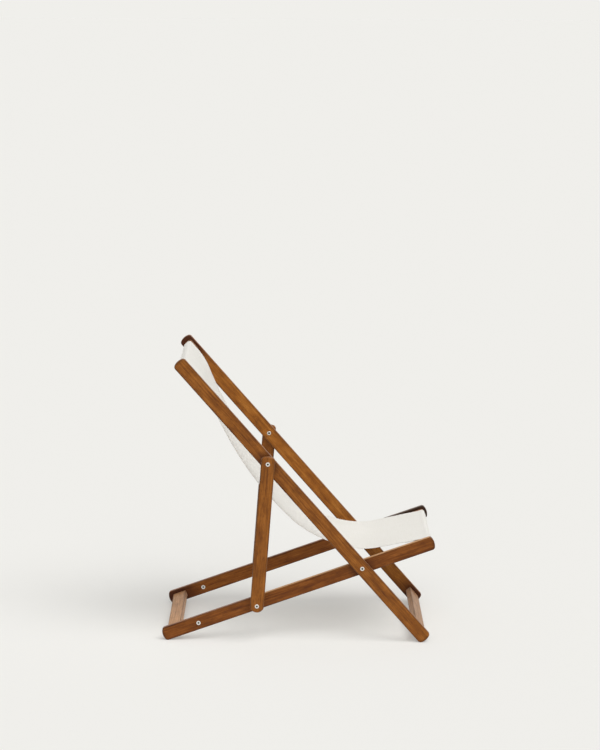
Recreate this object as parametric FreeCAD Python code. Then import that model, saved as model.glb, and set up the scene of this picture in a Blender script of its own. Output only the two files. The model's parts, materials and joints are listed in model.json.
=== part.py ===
import FreeCAD, Part
import os
from math import acos, asin, atan2, cos, degrees, pi, radians, sin, sqrt

# A folding wooden deck chair with a canvas sling. Millimetres; +X is the way the sitter faces, +Y the
# sitter's left, +Z up. The origin is on the floor, below the middle of the chair's outline.

# Rail stock, the same for the back rails, seat rails and props
RAIL_WIDTH = 45.0
RAIL_THICKNESS = 20.0
RAIL_EDGE_RADIUS = 4.0
RAIL_END_ARC = 40.0
RAIL_CORNER_RADIUS = 11.0
FOOT_FLAT_DEPTH = 0.5

# Lengths along the rails, from the crossing pivot to each end
BACK_TOP = 910.0
BACK_FOOT = 319.5
SEAT_REAR = 693.5
SEAT_FRONT = 250.5

# The triangle of crossing pivot, prop pivot and prop foot, which sets the recline
PIVOT_TO_PROP_ON_BACK = 468.0
PIVOT_TO_FOOT_ON_SEAT = 365.0
PROP_BOLT_SPACING = 474.0
PIVOT_TO_RECLINE_HOLE = 569.0

# Prop ends
PROP_TOP_REACH = 24.0
PROP_TOP_ARC = 60.0
PROP_TOP_CORNER = 13.0
PROP_FOOT_REACH = 21.5
PROP_FOOT_ARC = 24.0
PROP_FOOT_CORNER = 14.0

# Across the chair
SEAT_FRAME_WIDTH = 500.0
WASHER_THICKNESS = 2.5
WASHER_DIAMETER = 22.0

# Cross bars: the width lies along the rails
BAR_WIDTH = 45.0
FOOT_BAR_THICKNESS = 20.0
FOOT_BAR_EDGE_RADIUS = 2.0
SLING_BAR_THICKNESS = 28.0
SLING_BAR_EDGE_RADIUS = 8.0
TOP_BAR_INSET = 16.5
FRONT_FOOT_BAR_INSET = 10.0
SEAT_FRONT_BAR_INSET = 10.0
REAR_FOOT_BAR_INSET = 18.0
TENON_LENGTH = 12.0
TENON_WIDTH = 30.0
TENON_THICKNESS = 10.0
TENON_CLEARANCE = 0.1
MORTISE_END_ROOM = 1.0

# Connector bolts, barrel nuts and flared sleeves
HEAD_DIAMETER = 14.0
HEAD_THICKNESS = 1.6
HEAD_EDGE_RADIUS = 0.6
SHANK_DIAMETER = 6.0
SHANK_END_ROOM = 17.5
SOCKET_ACROSS_FLATS = 5.0
SOCKET_DEPTH = 3.0
BARREL_DIAMETER = 9.0
BARREL_END_ROOM = 1.0
BORE_END_ROOM = 2.0
RUNNING_CLEARANCE = 0.1
THREAD_CLEARANCE = 0.05
SLEEVE_FLANGE = 1.2
SPACER_DIAMETER = 18.0
OPEN_PIVOT_CLEARANCE = 0.3

# Canvas sling: its lowest point is measured from the crossing pivot
SLING_WIDTH = 412.0
CANVAS_THICKNESS = 1.2
SLEEVE_CLEARANCE = 0.3
SLING_LOW_AHEAD = 7.0
SLING_LOW_ABOVE = 51.0
SLING_HOLLOW_RADIUS = 323.0
SLING_FRONT_RADIUS = 200.0
SLING_SHOULDER_RADIUS = 238.0
SLING_SHOULDER_DEGREES = 19.4


def vector(x, y, z):
    return FreeCAD.Vector(x, y, z)


def corner_centre(reach, arc, corner):
    """Centre of the rounding between a rail's side and its end arc."""
    side = RAIL_WIDTH / 2 - corner
    return reach - arc + sqrt((arc - corner) ** 2 - side**2), side


def end_reach(reach, angle):
    """How far a rail end reaches in a direction at this angle to the rail's line."""
    x, side = corner_centre(reach, RAIL_END_ARC, RAIL_CORNER_RADIUS)
    if angle < asin(side / (RAIL_END_ARC - RAIL_CORNER_RADIUS)):
        return (reach - RAIL_END_ARC) * cos(angle) + RAIL_END_ARC
    return x * cos(angle) + side * sin(angle) + RAIL_CORNER_RADIUS


# The recline: the angle between the frames, and the tilt that puts both pairs of feet on the floor
frame_angle = acos(
    (PIVOT_TO_PROP_ON_BACK**2 + PIVOT_TO_FOOT_ON_SEAT**2 - PROP_BOLT_SPACING**2)
    / (2 * PIVOT_TO_PROP_ON_BACK * PIVOT_TO_FOOT_ON_SEAT)
)
prop_angle = acos(
    (PIVOT_TO_PROP_ON_BACK**2 + PROP_BOLT_SPACING**2 - PIVOT_TO_FOOT_ON_SEAT**2)
    / (2 * PIVOT_TO_PROP_ON_BACK * PROP_BOLT_SPACING)
)
seat_corner, corner_side = corner_centre(SEAT_REAR, RAIL_END_ARC, RAIL_CORNER_RADIUS)
back_corner = seat_corner - SEAT_REAR + BACK_FOOT
seat_tilt = atan2(
    back_corner * sin(frame_angle) + corner_side * (cos(frame_angle) - 1),
    seat_corner + back_corner * cos(frame_angle) - corner_side * sin(frame_angle),
)
back_tilt = frame_angle - seat_tilt

# The crossing pivot's place over the floor, and along the chair
pivot_height = end_reach(SEAT_REAR, pi / 2 - seat_tilt) - FOOT_FLAT_DEPTH
front_reach = max(end_reach(SEAT_FRONT, seat_tilt), end_reach(BACK_FOOT, back_tilt))
rear_reach = max(end_reach(SEAT_REAR, seat_tilt), end_reach(BACK_TOP, back_tilt))
pivot = vector((rear_reach - front_reach) / 2, 0, pivot_height)

# Faces across the chair, on the sitter's left
seat_outer = SEAT_FRAME_WIDTH / 2
seat_inner = seat_outer - RAIL_THICKNESS
back_inner = seat_outer + WASHER_THICKNESS
back_outer = back_inner + RAIL_THICKNESS
prop_inner = back_outer + WASHER_THICKNESS
prop_outer = prop_inner + RAIL_THICKNESS

barrel_hole = BARREL_DIAMETER + 2 * RUNNING_CLEARANCE
shank_hole = SHANK_DIAMETER + 2 * THREAD_CLEARANCE


def turned(x, z, tilt):
    """A point given along and above a frame's line, about the crossing pivot."""
    return vector(x * cos(tilt) + z * sin(tilt), 0, z * cos(tilt) - x * sin(tilt))


def stand(shape, tilt, at=vector(0, 0, 0)):
    """Turn a shape from its frame's own line to its place on the chair."""
    turn = FreeCAD.Rotation(vector(0, 1, 0), degrees(tilt))
    placed = shape.copy()
    placed.Placement = FreeCAD.Placement(pivot + at, turn)
    return placed


def edge_arc(start, middle, end):
    return Part.Arc(start, middle, end).toShape()


def end_edges(reach, arc, corner):
    """Edges round one end of a rail, from its upper side to its lower side."""
    x, side = corner_centre(reach, arc, corner)
    arc_x = reach - arc
    blend = atan2(side, x - arc_x)
    half = (blend + pi / 2) / 2
    upper = [
        vector(x, 0, RAIL_WIDTH / 2),
        vector(x + corner * cos(half), 0, side + corner * sin(half)),
        vector(arc_x + arc * cos(blend), 0, arc * sin(blend)),
    ]
    lower = [vector(p.x, 0, -p.z) for p in upper]
    return [
        edge_arc(*upper),
        edge_arc(upper[2], vector(reach, 0, 0), lower[2]),
        edge_arc(lower[2], lower[1], lower[0]),
    ]


def rail(inner_face, forward, rearward):
    """A rounded rail along X; each end is (reach, end arc, corner radius)."""
    front = end_edges(*forward)
    turn = FreeCAD.Rotation(vector(0, 1, 0), 180)
    rear = [e.transformGeometry(turn.toMatrix()) for e in end_edges(*rearward)]
    front_top, front_low = front[0].Vertexes[0].Point, front[2].Vertexes[1].Point
    rear_low, rear_top = rear[0].Vertexes[0].Point, rear[2].Vertexes[1].Point
    sides = [
        Part.makeLine(front_low, rear_low),
        Part.makeLine(rear_top, front_top),
    ]
    outline = Part.Wire(Part.__sortEdges__(front + rear + sides))
    solid = Part.Face(outline).extrude(vector(0, RAIL_THICKNESS, 0))
    rims = [e for e in solid.Edges if e.BoundBox.YLength < RAIL_THICKNESS / 2]
    rounded = solid.makeFillet(RAIL_EDGE_RADIUS, rims)
    rounded.translate(vector(0, inner_face, 0))
    return rounded


def rod(diameter, start, end, x=0.0):
    """A cylinder across the chair between two faces."""
    return Part.makeCylinder(
        diameter / 2, end - start, vector(x, start, 0), vector(0, 1, 0)
    )


def mortise(inner_face, x):
    """The blind hole in a rail's inner face that takes a bar's tenon."""
    width = TENON_WIDTH + 2 * TENON_CLEARANCE
    height = TENON_THICKNESS + 2 * TENON_CLEARANCE
    corner = vector(x - width / 2, inner_face, -height / 2)
    return Part.makeBox(width, TENON_LENGTH + MORTISE_END_ROOM, height, corner)


def bar_section(x, thickness, radius, grow=0.0):
    """A cross bar's rounded section, as a face; grow widens it all round."""
    bend = radius + grow
    across, up = BAR_WIDTH / 2 + grow - bend, thickness / 2 + grow - bend
    corners = []
    for quarter, (side, level) in enumerate(((1, 1), (-1, 1), (-1, -1), (1, -1))):
        angles = [(quarter + step) * pi / 2 for step in (0, 0.5, 1)]
        centre = vector(x + side * across, 0, level * up)
        corners.append(edge_arc(*[centre + vector(bend * cos(a), 0, bend * sin(a)) for a in angles]))
    sides = [
        Part.makeLine(corners[i - 1].Vertexes[1].Point, corners[i].Vertexes[0].Point) for i in range(4)
    ]
    return Part.Face(Part.Wire(Part.__sortEdges__(corners + sides)))


def cross_bar(x, thickness, radius, inner_face):
    """A bar between two rails, with a tenon at each end."""
    section = bar_section(x, thickness, radius)
    section.translate(vector(0, -inner_face, 0))
    bar = section.extrude(vector(0, 2 * inner_face, 0))
    corner = vector(x - TENON_WIDTH / 2, -inner_face - TENON_LENGTH, -TENON_THICKNESS / 2)
    length = 2 * (inner_face + TENON_LENGTH)
    return bar.fuse(Part.makeBox(TENON_WIDTH, length, TENON_THICKNESS, corner)).removeSplitter()


# Bar places along the rails, measured from the crossing pivot
top_bar_x = -(BACK_TOP - TOP_BAR_INSET - BAR_WIDTH / 2)
front_foot_bar_x = BACK_FOOT - FRONT_FOOT_BAR_INSET - BAR_WIDTH / 2
seat_front_bar_x = SEAT_FRONT - SEAT_FRONT_BAR_INSET - BAR_WIDTH / 2
rear_foot_bar_x = -(SEAT_REAR - REAR_FOOT_BAR_INSET - BAR_WIDTH / 2)


def level_feet(shape):
    """Sand a standing rail's lowest corner flat on the floor."""
    box = shape.BoundBox
    below = Part.makeBox(
        box.XLength, box.YLength, FOOT_FLAT_DEPTH * 2, vector(box.XMin, box.YMin, -FOOT_FLAT_DEPTH * 2)
    )
    return shape.cut(below)


def back_rail():
    foot = (BACK_FOOT, RAIL_END_ARC, RAIL_CORNER_RADIUS)
    top = (BACK_TOP, RAIL_END_ARC, RAIL_CORNER_RADIUS)
    cuts = [rod(barrel_hole, back_inner, back_outer, x) for x in (0, -PIVOT_TO_PROP_ON_BACK)]
    cuts += [mortise(back_inner, x) for x in (top_bar_x, front_foot_bar_x)]
    return level_feet(stand(rail(back_inner, foot, top).cut(cuts), back_tilt))


def seat_rail():
    front = (SEAT_FRONT, RAIL_END_ARC, RAIL_CORNER_RADIUS)
    rear = (SEAT_REAR, RAIL_END_ARC, RAIL_CORNER_RADIUS)
    holes = (0, -PIVOT_TO_FOOT_ON_SEAT, -PIVOT_TO_RECLINE_HOLE)
    cuts = [rod(barrel_hole, seat_inner, seat_outer, x) for x in holes]
    cuts += [mortise(seat_inner, x) for x in (seat_front_bar_x, rear_foot_bar_x)]
    return level_feet(stand(rail(seat_inner, front, rear).cut(cuts), -seat_tilt))


prop_pivot = turned(-PIVOT_TO_PROP_ON_BACK, 0, back_tilt)
foot_hole = turned(-PIVOT_TO_FOOT_ON_SEAT, 0, -seat_tilt)
recline_hole = turned(-PIVOT_TO_RECLINE_HOLE, 0, -seat_tilt)


def prop():
    foot = (PROP_BOLT_SPACING + PROP_FOOT_REACH, PROP_FOOT_ARC, PROP_FOOT_CORNER)
    top = (PROP_TOP_REACH, PROP_TOP_ARC, PROP_TOP_CORNER)
    cuts = [
        rod(barrel_hole, prop_inner, prop_outer),
        rod(shank_hole, prop_inner, prop_outer, PROP_BOLT_SPACING),
    ]
    return stand(rail(prop_inner, foot, top).cut(cuts), back_tilt + prop_angle, prop_pivot)


def head(face):
    """A flat round bolt head on the outer side of a face."""
    disc = rod(HEAD_DIAMETER, face, face + HEAD_THICKNESS)
    rim = [e for e in disc.Edges if e.Closed and e.CenterOfMass.y > face + HEAD_THICKNESS / 2]
    return disc.makeFillet(HEAD_EDGE_RADIUS, rim)


def hex_socket(top):
    """The six-sided key hole in a head whose top is at this height."""
    corner = SOCKET_ACROSS_FLATS / sqrt(3)
    points = [
        vector(corner * cos(i * pi / 3), top - SOCKET_DEPTH, corner * sin(i * pi / 3)) for i in range(7)
    ]
    return Part.Face(Part.makePolygon(points)).extrude(vector(0, SOCKET_DEPTH, 0))


def bolt(face, inner_end):
    """A connector bolt whose head sits on this face and whose shank ends at inner_end."""
    shank = rod(SHANK_DIAMETER, inner_end, face)
    return head(face).fuse(shank).cut(hex_socket(face + HEAD_THICKNESS)).removeSplitter()


def barrel_nut(inner_face, outer_face):
    """A barrel nut: a head on the inner face, and a barrel that is the pivot's axle."""
    nut_head = head(-inner_face).mirror(vector(0, 0, 0), vector(0, 1, 0))
    end = outer_face - BARREL_END_ROOM
    barrel = rod(BARREL_DIAMETER, inner_face, end)
    bore = rod(shank_hole, inner_face + SHANK_END_ROOM - BORE_END_ROOM, end)
    key = hex_socket(-inner_face + HEAD_THICKNESS).mirror(vector(0, 0, 0), vector(0, 1, 0))
    return nut_head.fuse(barrel).cut([bore, key]).removeSplitter()


def washer(inner_face):
    ring = rod(WASHER_DIAMETER, inner_face, inner_face + WASHER_THICKNESS)
    return ring.cut(rod(barrel_hole, inner_face, inner_face + WASHER_THICKNESS))


def flared_sleeve():
    """A metal lining through the seat rail, with a flange on each face."""
    outside = seat_outer + SLEEVE_FLANGE
    inside = seat_inner - SLEEVE_FLANGE
    lining = rod(BARREL_DIAMETER, inside, outside)
    flanges = [rod(HEAD_DIAMETER, seat_outer, outside), rod(HEAD_DIAMETER, inside, seat_inner)]
    return lining.fuse(flanges).cut(rod(shank_hole, inside, outside)).removeSplitter()


# The foot bolt and its spacer stop short of the seat rail's sleeve, where the triangle is open
spacer_end = seat_outer + SLEEVE_FLANGE + OPEN_PIVOT_CLEARANCE


def foot_spacer():
    return rod(SPACER_DIAMETER, spacer_end, prop_inner).cut(rod(shank_hole, spacer_end, prop_inner))


def arc_by_heading(centre, radius, start, end, side):
    """An arc from one heading to another; side is 1 for a turn to the left, -1 for one to the right."""
    def at(heading):
        return centre + vector(side * radius * sin(heading), 0, -side * radius * cos(heading))
    return edge_arc(at(start), at((start + end) / 2), at(end))


def sling():
    """The canvas: a strip that hangs in arcs from bar to bar, and a sleeve round each bar."""
    rise = SLING_BAR_THICKNESS / 2 + SLEEVE_CLEARANCE + CANVAS_THICKNESS / 2
    flat_half = BAR_WIDTH / 2 - SLING_BAR_EDGE_RADIUS
    top_start = turned(top_bar_x - flat_half, rise, back_tilt)
    shoulder = turned(top_bar_x + flat_half, rise, back_tilt)
    low = vector(SLING_LOW_AHEAD, 0, SLING_LOW_ABOVE)
    front_bar_top = turned(seat_front_bar_x, rise, -seat_tilt)

    # Shoulder: the canvas bends back as it leaves the top bar
    on_bar = -back_tilt
    leaving = on_bar - radians(SLING_SHOULDER_DEGREES)
    shoulder_centre = shoulder + vector(sin(on_bar), 0, -cos(on_bar)) * SLING_SHOULDER_RADIUS
    hang = shoulder_centre + vector(-sin(leaving), 0, cos(leaving)) * SLING_SHOULDER_RADIUS

    # Back and hollow: two arcs that join smoothly and end level at the lowest point
    hollow_centre = low + vector(0, 0, SLING_HOLLOW_RADIUS)
    inward = vector(-sin(leaving), 0, cos(leaving))
    offset = hang - hollow_centre
    back_radius = (SLING_HOLLOW_RADIUS**2 - offset.Length**2) / (
        2 * (offset.dot(inward) + SLING_HOLLOW_RADIUS)
    )
    back_centre = hang + inward * back_radius
    toward = hollow_centre - back_centre
    joining = atan2(toward.x, -toward.z)

    # Front: an arc from the lowest point, and then straight up to the middle of the front bar's top
    front_centre = low + vector(0, 0, SLING_FRONT_RADIUS)
    climb = front_bar_top - front_centre
    straight = sqrt(climb.Length**2 - SLING_FRONT_RADIUS**2)
    arriving = atan2(climb.z, climb.x) + atan2(SLING_FRONT_RADIUS, straight)

    def face_of_strip(half):
        """Edges of the strip's face that lies this far above its middle."""
        lift_back = vector(-sin(on_bar), 0, cos(on_bar)) * half
        front_end = front_bar_top + vector(-sin(arriving), 0, cos(arriving)) * half
        front_arc = arc_by_heading(front_centre, SLING_FRONT_RADIUS - half, 0, arriving, 1)
        return [
            Part.makeLine(top_start + lift_back, shoulder + lift_back),
            arc_by_heading(shoulder_centre, SLING_SHOULDER_RADIUS + half, on_bar, leaving, -1),
            arc_by_heading(back_centre, back_radius - half, leaving, joining, 1),
            arc_by_heading(hollow_centre, SLING_HOLLOW_RADIUS - half, joining, 0, 1),
            front_arc,
            Part.makeLine(front_arc.Vertexes[1].Point, front_end),
        ]

    upper = face_of_strip(CANVAS_THICKNESS / 2)
    lower = face_of_strip(-CANVAS_THICKNESS / 2)
    ends = [
        Part.makeLine(upper[0].Vertexes[0].Point, lower[0].Vertexes[0].Point),
        Part.makeLine(upper[-1].Vertexes[1].Point, lower[-1].Vertexes[1].Point),
    ]
    across = vector(0, SLING_WIDTH, 0)
    strip = Part.Face(Part.Wire(Part.__sortEdges__(upper + lower + ends))).extrude(across)
    strip.translate(pivot)
    canvas = strip
    for x, tilt in ((top_bar_x, back_tilt), (seat_front_bar_x, -seat_tilt)):
        shape = (x, SLING_BAR_THICKNESS, SLING_BAR_EDGE_RADIUS)
        outside = bar_section(*shape, SLEEVE_CLEARANCE + CANVAS_THICKNESS)
        sleeve = outside.cut(bar_section(*shape, SLEEVE_CLEARANCE)).extrude(across)
        canvas = canvas.fuse(stand(sleeve, tilt))
    canvas = canvas.removeSplitter()
    canvas.translate(vector(0, -SLING_WIDTH / 2, 0))
    length = sum(edge.Length for edge in face_of_strip(0))
    print(f"sling: strip {length:.1f} long, back arc {back_radius:.0f}, front slope {degrees(arriving):.2f}")
    return canvas


def save(shape, name):
    """Write one piece, which has to be one sound solid."""
    solid = shape.Solids[0]
    assert len(shape.Solids) == 1 and solid.isValid(), name
    solid.exportStep(f"parts/{name}.step")


os.makedirs("parts", exist_ok=True)

# Pieces that span the chair
sling_bar = (SLING_BAR_THICKNESS, SLING_BAR_EDGE_RADIUS)
foot_bar = (FOOT_BAR_THICKNESS, FOOT_BAR_EDGE_RADIUS)
save(stand(cross_bar(top_bar_x, *sling_bar, back_inner), back_tilt), "top_bar")
save(stand(cross_bar(front_foot_bar_x, *foot_bar, back_inner), back_tilt), "front_foot_bar")
save(stand(cross_bar(seat_front_bar_x, *sling_bar, seat_inner), -seat_tilt), "seat_front_bar")
save(stand(cross_bar(rear_foot_bar_x, *foot_bar, seat_inner), -seat_tilt), "rear_foot_bar")
save(sling(), "sling")

# Pieces of one side, made on the sitter's left and mirrored for the right
left_pieces = {
    "back_rail": back_rail(),
    "seat_rail": seat_rail(),
    "prop": prop(),
    "frame_pivot_bolt": stand(bolt(back_outer, seat_inner + SHANK_END_ROOM), back_tilt),
    "frame_pivot_nut": stand(barrel_nut(seat_inner, back_outer), back_tilt),
    "frame_pivot_washer": stand(washer(seat_outer), -seat_tilt),
    "prop_pivot_bolt": stand(bolt(prop_outer, back_inner + SHANK_END_ROOM), back_tilt, prop_pivot),
    "prop_pivot_nut": stand(barrel_nut(back_inner, prop_outer), back_tilt, prop_pivot),
    "prop_pivot_washer": stand(washer(back_outer), back_tilt, prop_pivot),
    "foot_bolt": stand(bolt(prop_outer, spacer_end), -seat_tilt, foot_hole),
    "foot_spacer": stand(foot_spacer(), -seat_tilt, foot_hole),
    "foot_sleeve": stand(flared_sleeve(), -seat_tilt, foot_hole),
    "recline_sleeve": stand(flared_sleeve(), -seat_tilt, recline_hole),
}
for name, shape in left_pieces.items():
    save(shape, f"{name}_left")
    save(shape.mirror(vector(0, 0, 0), vector(0, 1, 0)), f"{name}_right")

print(f"frames {degrees(frame_angle):.3f} apart, seat tilt {degrees(seat_tilt):.3f}")
print(f"prop {degrees(prop_angle):.3f} from the back rail")
for label, point in (("pivot", pivot), ("prop pivot", pivot + prop_pivot), ("foot", pivot + foot_hole)):
    print(f"{label} at x {point.x:.3f}, z {point.z:.3f}")
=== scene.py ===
import json
import math

import bpy
import numpy as np
from mathutils import Euler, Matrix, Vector


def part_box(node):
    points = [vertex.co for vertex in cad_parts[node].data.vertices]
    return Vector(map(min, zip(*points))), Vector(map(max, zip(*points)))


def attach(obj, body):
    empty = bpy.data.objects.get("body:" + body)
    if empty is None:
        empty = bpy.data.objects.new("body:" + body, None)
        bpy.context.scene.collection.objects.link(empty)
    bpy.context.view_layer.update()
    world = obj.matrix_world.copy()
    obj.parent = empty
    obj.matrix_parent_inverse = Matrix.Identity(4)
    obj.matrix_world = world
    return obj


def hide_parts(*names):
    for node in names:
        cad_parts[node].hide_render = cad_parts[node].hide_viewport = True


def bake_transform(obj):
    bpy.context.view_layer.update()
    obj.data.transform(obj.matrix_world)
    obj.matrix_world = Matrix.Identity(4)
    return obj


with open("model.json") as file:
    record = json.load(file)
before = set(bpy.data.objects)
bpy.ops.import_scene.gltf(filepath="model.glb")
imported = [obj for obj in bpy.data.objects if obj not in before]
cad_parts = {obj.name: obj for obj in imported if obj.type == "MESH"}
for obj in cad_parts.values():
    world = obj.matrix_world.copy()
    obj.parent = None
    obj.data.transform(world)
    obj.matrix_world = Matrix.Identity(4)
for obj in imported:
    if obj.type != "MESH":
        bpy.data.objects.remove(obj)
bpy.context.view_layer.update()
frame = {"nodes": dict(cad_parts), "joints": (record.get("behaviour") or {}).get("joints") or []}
nodes = frame["nodes"]


# Back rails: two long planks with rounded edges and ends, sawn from acacia, sanded and oiled. They are
# bored for the crossing pivot and for the props, and mortised for the two bars that join them.
pivots = {joint["name"]: np.array(joint["pos_m"]) for joint in frame["joints"]}
crossing = pivots["frame_fold"]
prop_pivot = pivots["left_prop_swing"]
back_tilt = math.atan2(prop_pivot[2] - crossing[2], crossing[0] - prop_pivot[0])


def linear(colour):
    """A hex colour's sRGB levels as linear light: c / 12.92 up to 0.04045, and above that
    ((c + 0.055) / 1.055) ** 2.4."""
    levels = [int(colour[i : i + 2], 16) / 255 for i in (1, 3, 5)]
    return [c / 12.92 if c <= 0.04045 else ((c + 0.055) / 1.055) ** 2.4 for c in levels] + [1.0]


def add(tree, kind, inputs, **settings):
    """Adds one node with its settings; an input that is a socket is linked, and any other is a value."""
    made = tree.nodes.new(kind)
    for name, value in settings.items():
        setattr(made, name, value)
    for name, value in inputs.items():
        if isinstance(value, bpy.types.NodeSocket):
            tree.links.new(value, made.inputs[name])
        else:
            made.inputs[name].default_value = value
    return made


def new_material(name):
    """A new material, its node tree and its shader."""
    material = bpy.data.materials.new(name)
    material.use_nodes = True
    return material, material.node_tree, material.node_tree.nodes["Principled BSDF"]


def dress(material, *names):
    """Gives the timber or metal to nodes of the frame."""
    for name in names:
        nodes[name].data.materials[0] = material


def per_metre(length, width):
    """Repeats per metre, along and across the grain, of a mark this many millimetres long and wide."""
    return 1000 / length, 1000 / width, 1000 / width


def wave_scale(spacing):
    """The scale of a wave texture whose waves are this many metres apart: a wave is 2 pi / 20 long."""
    return math.pi / 10 / spacing


# Sizes of the wood's features in metres, where a pair gives the two ends of a change, and its tones
RING_SPACING = 0.007
FIBRE_SWAY = 0.016
PITH_PLACE = (0, 0.071, 0.038)
PITH_LEAN = (0, 0.012, 0.02)
EDGE_REACH = (0.0015, 0.005)
END_REACH = 0.012
FACE_DEPTHS = (0.006, 0.0095)
# Reach of the painted shade round a point that another plank covers, length and fade of the painted shade
# at the front, and where the painted highlight on the top begins and how far below the top it fades in
COVER_SHADE_REACH = (0.026, 0.048)
FRONT_SHADE_LENGTH = 0.23
FRONT_SHADE_FADE = 0.05
TOP_HIGHLIGHT_FROM = (-0.16, -0.10)
TOP_HIGHLIGHT_DEPTHS = (0.0017, 0.0007)
# Tones of the pores, of the painted shade beside joints and round a point another plank covers, of the
# painted shade at the front, and of the painted highlight on the top
PORE_TONE = "#3A1D0C"
PAINTED_SHADE_TONE = "#3C180A"
FRONT_SHADE_TONE = "#2A1C11"
TOP_HIGHLIGHT_TONE = "#C4935F"


def oiled_acacia(
    name,
    turn,
    centre,
    size,
    tones,
    off_middle=0.0,
    end_tone=0.5,
    joint_shade_reach=(0.0, 0.0),
    cover_shade_point=None,
    top_highlight=0.0,
    front_shade=0.0,
):
    """Oiled acacia: blotches and streaks of darker heartwood over growth rings cut lengthwise, short
    open pores, and a satin film of oil. The turn lays the plank's length along X, with its centre at the
    origin. The size is its length, depth and height there, and off_middle is how far it stands from the
    chair's middle. The tones are those of its dark, middling and light wood. The end grain is darker by
    end_tone. Painted shade darkens the inner face over the two given lengths from the rear and front
    ends, and the outer face round a given point where another plank covers it. A painted highlight turns
    the top pale towards the front, from a little behind its middle, by the share given, and painted shade
    darkens the front's last stretch, but for its outer face, by the share given."""
    material, tree, shader = new_material(name)
    place = add(tree, "ShaderNodeTexCoord", {}).outputs["Object"]
    to_origin = -(Euler(turn).to_matrix() @ Vector((centre[0], 0, centre[2])))
    grain = add(
        tree, "ShaderNodeMapping", {"Vector": place, "Rotation": turn, "Location": to_origin}
    ).outputs[0]

    # The fibres wander as they run, up to half of the sway to either side
    scaled = add(
        tree, "ShaderNodeVectorMath", {0: grain, 1: per_metre(320, 60)}, operation="MULTIPLY"
    ).outputs[0]
    sway = add(tree, "ShaderNodeTexNoise", {"Vector": scaled, "Scale": 1.0, "Detail": 2.0}).outputs[1]
    bent = add(
        tree,
        "ShaderNodeVectorMath",
        {0: sway, 1: (0, FIBRE_SWAY, FIBRE_SWAY), 2: grain},
        operation="MULTIPLY_ADD",
    ).outputs[0]
    pith = add(
        tree, "ShaderNodeMapping", {"Vector": bent, "Location": PITH_PLACE, "Rotation": PITH_LEAN}
    ).outputs[0]
    rings = add(
        tree,
        "ShaderNodeTexWave",
        {
            "Vector": pith,
            "Scale": wave_scale(RING_SPACING),
            "Distortion": 2.4,
            "Detail": 3.0,
            "Detail Scale": 0.6,
        },
        wave_type="RINGS",
        rings_direction="X",
    ).outputs[1]
    # The wood's marks, by their length and width in millimetres
    marks = {}
    for mark, length, width, detail in (
        ("streaks", 120, 3.8, 4.0),
        ("blotches", 50, 20, 3.0),
        ("fibres", 36, 0.9, 2.0),
        ("pores", 14, 1.3, 1.0),
    ):
        scaled = add(
            tree, "ShaderNodeVectorMath", {0: bent, 1: per_metre(length, width)}, operation="MULTIPLY"
        ).outputs[0]
        marks[mark] = add(
            tree,
            "ShaderNodeTexNoise",
            {"Vector": scaled, "Scale": 1.0, "Detail": detail, "Roughness": 0.58},
        ).outputs[0]

    # A Map Range node's inputs 0 to 4 are the value, the two ends of its range, and what these become
    depth = add(
        tree, "ShaderNodeMix", {0: 0.42, 2: marks["streaks"], 3: marks["blotches"]}, data_type="FLOAT"
    ).outputs[0]
    depth = add(tree, "ShaderNodeMapRange", {0: depth, 1: 0.33, 2: 0.67}).outputs[0]
    depth = add(tree, "ShaderNodeMix", {0: 0.10, 2: depth, 3: rings}, data_type="FLOAT").outputs[0]
    to_middle = add(tree, "ShaderNodeMapRange", {0: depth, 1: 0.0, 2: 0.5}).outputs[0]
    to_light = add(tree, "ShaderNodeMapRange", {0: depth, 1: 0.5, 2: 1.0}).outputs[0]
    open_pores = add(
        tree, "ShaderNodeMapRange", {0: marks["pores"], 1: 0.60, 2: 0.70, 3: 0.0, 4: 0.5}
    ).outputs[0]
    dark, middle, light = (linear(tone) for tone in tones)
    colour = add(tree, "ShaderNodeMix", {0: to_middle, 6: dark, 7: middle}, data_type="RGBA").outputs[2]
    colour = add(tree, "ShaderNodeMix", {0: to_light, 6: colour, 7: light}, data_type="RGBA").outputs[2]
    colour = add(
        tree, "ShaderNodeMix", {0: open_pores, 6: colour, 7: linear(PORE_TONE)}, data_type="RGBA"
    ).outputs[2]

    # End grain soaks up more oil and turns darker; the edges are darker too, partly as oil gathers there
    # and partly as painted shade on their roundings; room is the distance to the plank's faces
    out = add(tree, "ShaderNodeVectorMath", {0: grain}, operation="ABSOLUTE").outputs[0]
    aside = add(
        tree, "ShaderNodeVectorMath", {0: out, 1: (0, off_middle, 0)}, operation="SUBTRACT"
    ).outputs[0]
    beside = add(tree, "ShaderNodeVectorMath", {0: aside}, operation="ABSOLUTE").outputs[0]
    half = tuple(length / 2 for length in size)
    room = add(tree, "ShaderNodeVectorMath", {0: half, 1: beside}, operation="SUBTRACT").outputs[0]
    in_section = add(
        tree, "ShaderNodeVectorMath", {0: room, 1: (0, 1, 1)}, operation="MULTIPLY"
    ).outputs[0]
    from_edge = add(tree, "ShaderNodeVectorMath", {0: in_section}, operation="LENGTH").outputs[1]
    from_end = add(tree, "ShaderNodeSeparateXYZ", {0: room}).outputs[0]
    edges = add(
        tree, "ShaderNodeMapRange", {0: from_edge, 1: EDGE_REACH[0], 2: EDGE_REACH[1], 3: 0.62, 4: 1.0}
    ).outputs[0]
    ends = add(
        tree, "ShaderNodeMapRange", {0: from_end, 1: 0.0, 2: END_REACH, 3: end_tone, 4: 1.0}
    ).outputs[0]
    threads = add(
        tree, "ShaderNodeMapRange", {0: marks["fibres"], 1: 0.3, 2: 0.7, 3: 0.93, 4: 1.07}
    ).outputs[0]
    for tone in (edges, ends, threads):
        colour = add(
            tree, "ShaderNodeVectorMath", {0: colour, "Scale": tone}, operation="SCALE"
        ).outputs[0]
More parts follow.
